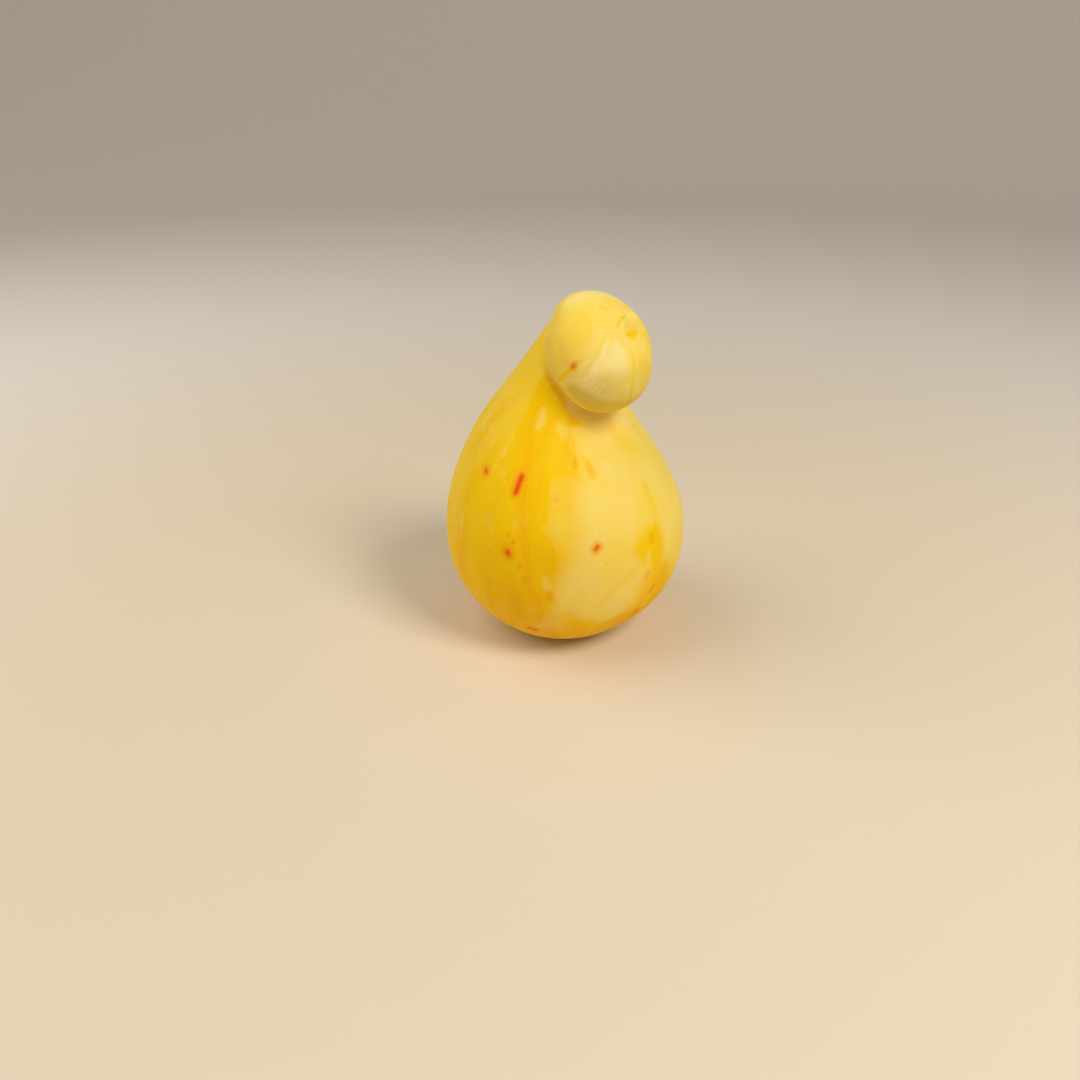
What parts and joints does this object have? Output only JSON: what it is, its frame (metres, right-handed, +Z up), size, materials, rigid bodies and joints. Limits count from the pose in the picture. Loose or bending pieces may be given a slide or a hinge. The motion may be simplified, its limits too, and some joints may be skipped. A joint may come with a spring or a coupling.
{
  "type": "caciocavallo cheese",
  "caption": "Pear-shaped pulled-curd cheese with saffron marbling, pinched at the neck, its head bent over the shoulder; stands on a flat foot.",
  "frame": {"origin": "on the standing surface, under the middle of the belly", "axes": "+Z up along the pear; the side seen in the picture faces -Y; the head leans towards +X and -Y"},
  "size_m": [0.1268, 0.1268, 0.1829],
  "materials": {
    "saffron_curd": "satin, smooth thin rind with golden saffron marbling and orange-red threads"
  },
  "bodies": {
    "root": {"cheese": "saffron_curd"}
  },
  "joints": []
}
